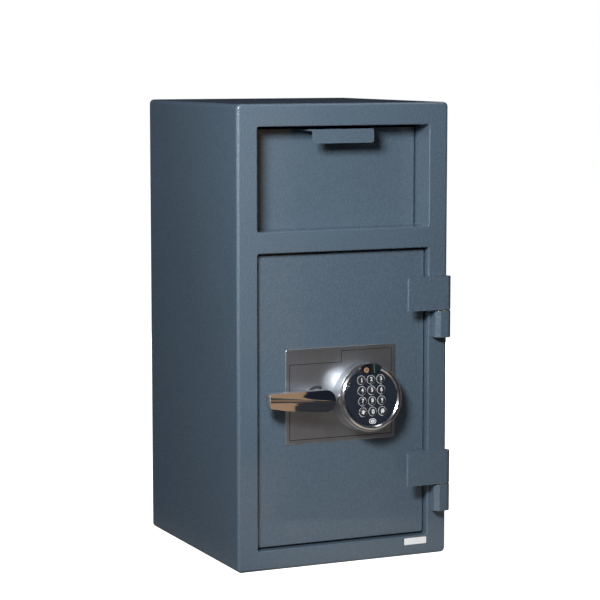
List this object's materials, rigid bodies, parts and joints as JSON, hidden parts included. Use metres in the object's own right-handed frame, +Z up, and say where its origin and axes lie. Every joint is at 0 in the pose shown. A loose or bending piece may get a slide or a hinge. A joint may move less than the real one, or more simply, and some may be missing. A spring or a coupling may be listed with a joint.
{
  "type": "drop safe with deposit hopper",
  "caption": "Steel drop safe: a tilting deposit hopper above an inset hinged door with a lever handle, a tilted round keypad and sliding lock bolts.",
  "frame": {"origin": "middle of the rectangular footprint, on the floor", "axes": "+Z up, -Y out of the front, +X towards the hinges"},
  "size_m": [0.348, 0.3832, 0.694],
  "materials": {
    "body_paint": "satin",
    "inner_paint": "satin",
    "bare_steel": "satin",
    "brushed_plate": "satin",
    "handle_chrome": "polished",
    "ring_chrome": "polished",
    "bolt_chrome": "polished",
    "washer_brass": "satin",
    "keypad_black": "gloss",
    "key_black": "satin",
    "window_gloss": "gloss"
  },
  "bodies": {
    "body": {"body_wrap": "body_paint", "back_panel": "body_paint", "front_frame": "body_paint", "hopper_surround": "body_paint", "door_jamb": "body_paint", "chute_side_left": "inner_paint", "chute_side_right": "inner_paint", "hopper_pivot_rod": "bare_steel", "anti_fish_baffle": "inner_paint", "hinge_knuckle_upper": "body_paint", "hinge_knuckle_lower": "body_paint", "hinge_pin_upper": "bare_steel", "hinge_pin_lower": "bare_steel", "hinge_washer_upper": "washer_brass", "hinge_washer_lower": "washer_brass"},
    "door": {"door_plate": "body_paint", "hinge_block_upper": "body_paint", "hinge_block_lower": "body_paint", "spindle_bushing": "washer_brass", "hard_plate": "bare_steel", "escutcheon_plate": "brushed_plate", "handle_rosette": "handle_chrome", "dead_bar": "bare_steel", "boltwork_frame": "inner_paint", "inner_cover": "inner_paint", "lock_case": "bare_steel", "guide_stud_upper": "bare_steel", "guide_stud_lower": "bare_steel", "keypad_housing": "ring_chrome", "keypad_bezel": "ring_chrome", "keypad_face": "keypad_black", "keypad_window": "window_gloss"},
    "handle": {"lever_handle": "handle_chrome", "handle_spindle": "bare_steel", "drive_crank": "bare_steel", "crank_pin": "bare_steel"},
    "carriage": {"bolt_carriage": "bare_steel", "locking_bolt_lower": "bolt_chrome", "locking_bolt_middle": "bolt_chrome", "locking_bolt_upper": "bolt_chrome"},
    "lock_bolt": {"lock_case_bolt": "washer_brass"},
    "hopper": {"hopper_panel": "body_paint", "hopper_pull": "body_paint", "hopper_tray": "inner_paint", "hopper_cheek_left": "inner_paint", "hopper_cheek_right": "inner_paint"},
    "button_1": {"key_1": "key_black"},
    "button_2": {"key_2": "key_black"},
    "button_3": {"key_3": "key_black"},
    "button_4": {"key_4": "key_black"},
    "button_5": {"key_5": "key_black"},
    "button_6": {"key_6": "key_black"},
    "button_7": {"key_7": "key_black"},
    "button_8": {"key_8": "key_black"},
    "button_9": {"key_9": "key_black"},
    "button_star": {"key_star": "key_black"},
    "button_0": {"key_0": "key_black"},
    "button_hash": {"key_hash": "key_black"}
  },
  "joints": [
    {"name": "door_swing", "type": "hinge", "parent": "body", "child": "door", "pos_m": [0.165, -0.187, 0.2525], "axis": [0, 0, 1], "range_deg": [0, 180]},
    {"name": "handle_turn", "type": "hinge", "parent": "door", "child": "handle", "pos_m": [-0.0423, -0.1677, 0.254], "axis": [0, -1, 0], "range_deg": [0, 90]},
    {"name": "bolt_throw", "type": "slide", "parent": "door", "child": "carriage", "axis": [-1, 0, 0], "range_m": [0, 0.025]},
    {"name": "lock_bolt_slide", "type": "slide", "parent": "door", "child": "lock_bolt", "axis": [0, 0, 1], "range_m": [0, 0.009]},
    {"name": "hopper_tilt", "type": "hinge", "parent": "body", "child": "hopper", "pos_m": [0, -0.124, 0.5145], "axis": [1, 0, 0], "range_deg": [0, 50]},
    {"name": "key_press_1", "type": "slide", "parent": "door", "child": "button_1", "axis": [0, 0.991, -0.134], "range_m": [0, 0.001], "stiffness_N_per_m": 300, "springref_m": -0.0005},
    {"name": "key_press_2", "type": "slide", "parent": "door", "child": "button_2", "axis": [0, 0.991, -0.134], "range_m": [0, 0.001], "stiffness_N_per_m": 300, "springref_m": -0.0005},
    {"name": "key_press_3", "type": "slide", "parent": "door", "child": "button_3", "axis": [0, 0.991, -0.134], "range_m": [0, 0.001], "stiffness_N_per_m": 300, "springref_m": -0.0005},
    {"name": "key_press_4", "type": "slide", "parent": "door", "child": "button_4", "axis": [0, 0.991, -0.134], "range_m": [0, 0.001], "stiffness_N_per_m": 300, "springref_m": -0.0005},
    {"name": "key_press_5", "type": "slide", "parent": "door", "child": "button_5", "axis": [0, 0.991, -0.134], "range_m": [0, 0.001], "stiffness_N_per_m": 300, "springref_m": -0.0005},
    {"name": "key_press_6", "type": "slide", "parent": "door", "child": "button_6", "axis": [0, 0.991, -0.134], "range_m": [0, 0.001], "stiffness_N_per_m": 300, "springref_m": -0.0005},
    {"name": "key_press_7", "type": "slide", "parent": "door", "child": "button_7", "axis": [0, 0.991, -0.134], "range_m": [0, 0.001], "stiffness_N_per_m": 300, "springref_m": -0.0005},
    {"name": "key_press_8", "type": "slide", "parent": "door", "child": "button_8", "axis": [0, 0.991, -0.134], "range_m": [0, 0.001], "stiffness_N_per_m": 300, "springref_m": -0.0005},
    {"name": "key_press_9", "type": "slide", "parent": "door", "child": "button_9", "axis": [0, 0.991, -0.134], "range_m": [0, 0.001], "stiffness_N_per_m": 300, "springref_m": -0.0005},
    {"name": "key_press_star", "type": "slide", "parent": "door", "child": "button_star", "axis": [0, 0.991, -0.134], "range_m": [0, 0.001], "stiffness_N_per_m": 300, "springref_m": -0.0005},
    {"name": "key_press_0", "type": "slide", "parent": "door", "child": "button_0", "axis": [0, 0.991, -0.134], "range_m": [0, 0.001], "stiffness_N_per_m": 300, "springref_m": -0.0005},
    {"name": "key_press_hash", "type": "slide", "parent": "door", "child": "button_hash", "axis": [0, 0.991, -0.134], "range_m": [0, 0.001], "stiffness_N_per_m": 300, "springref_m": -0.0005}
  ],
  "couplings": [
    {"joint": "bolt_throw", "follows": "handle_turn", "m_per_rad": 0.0159}
  ]
}
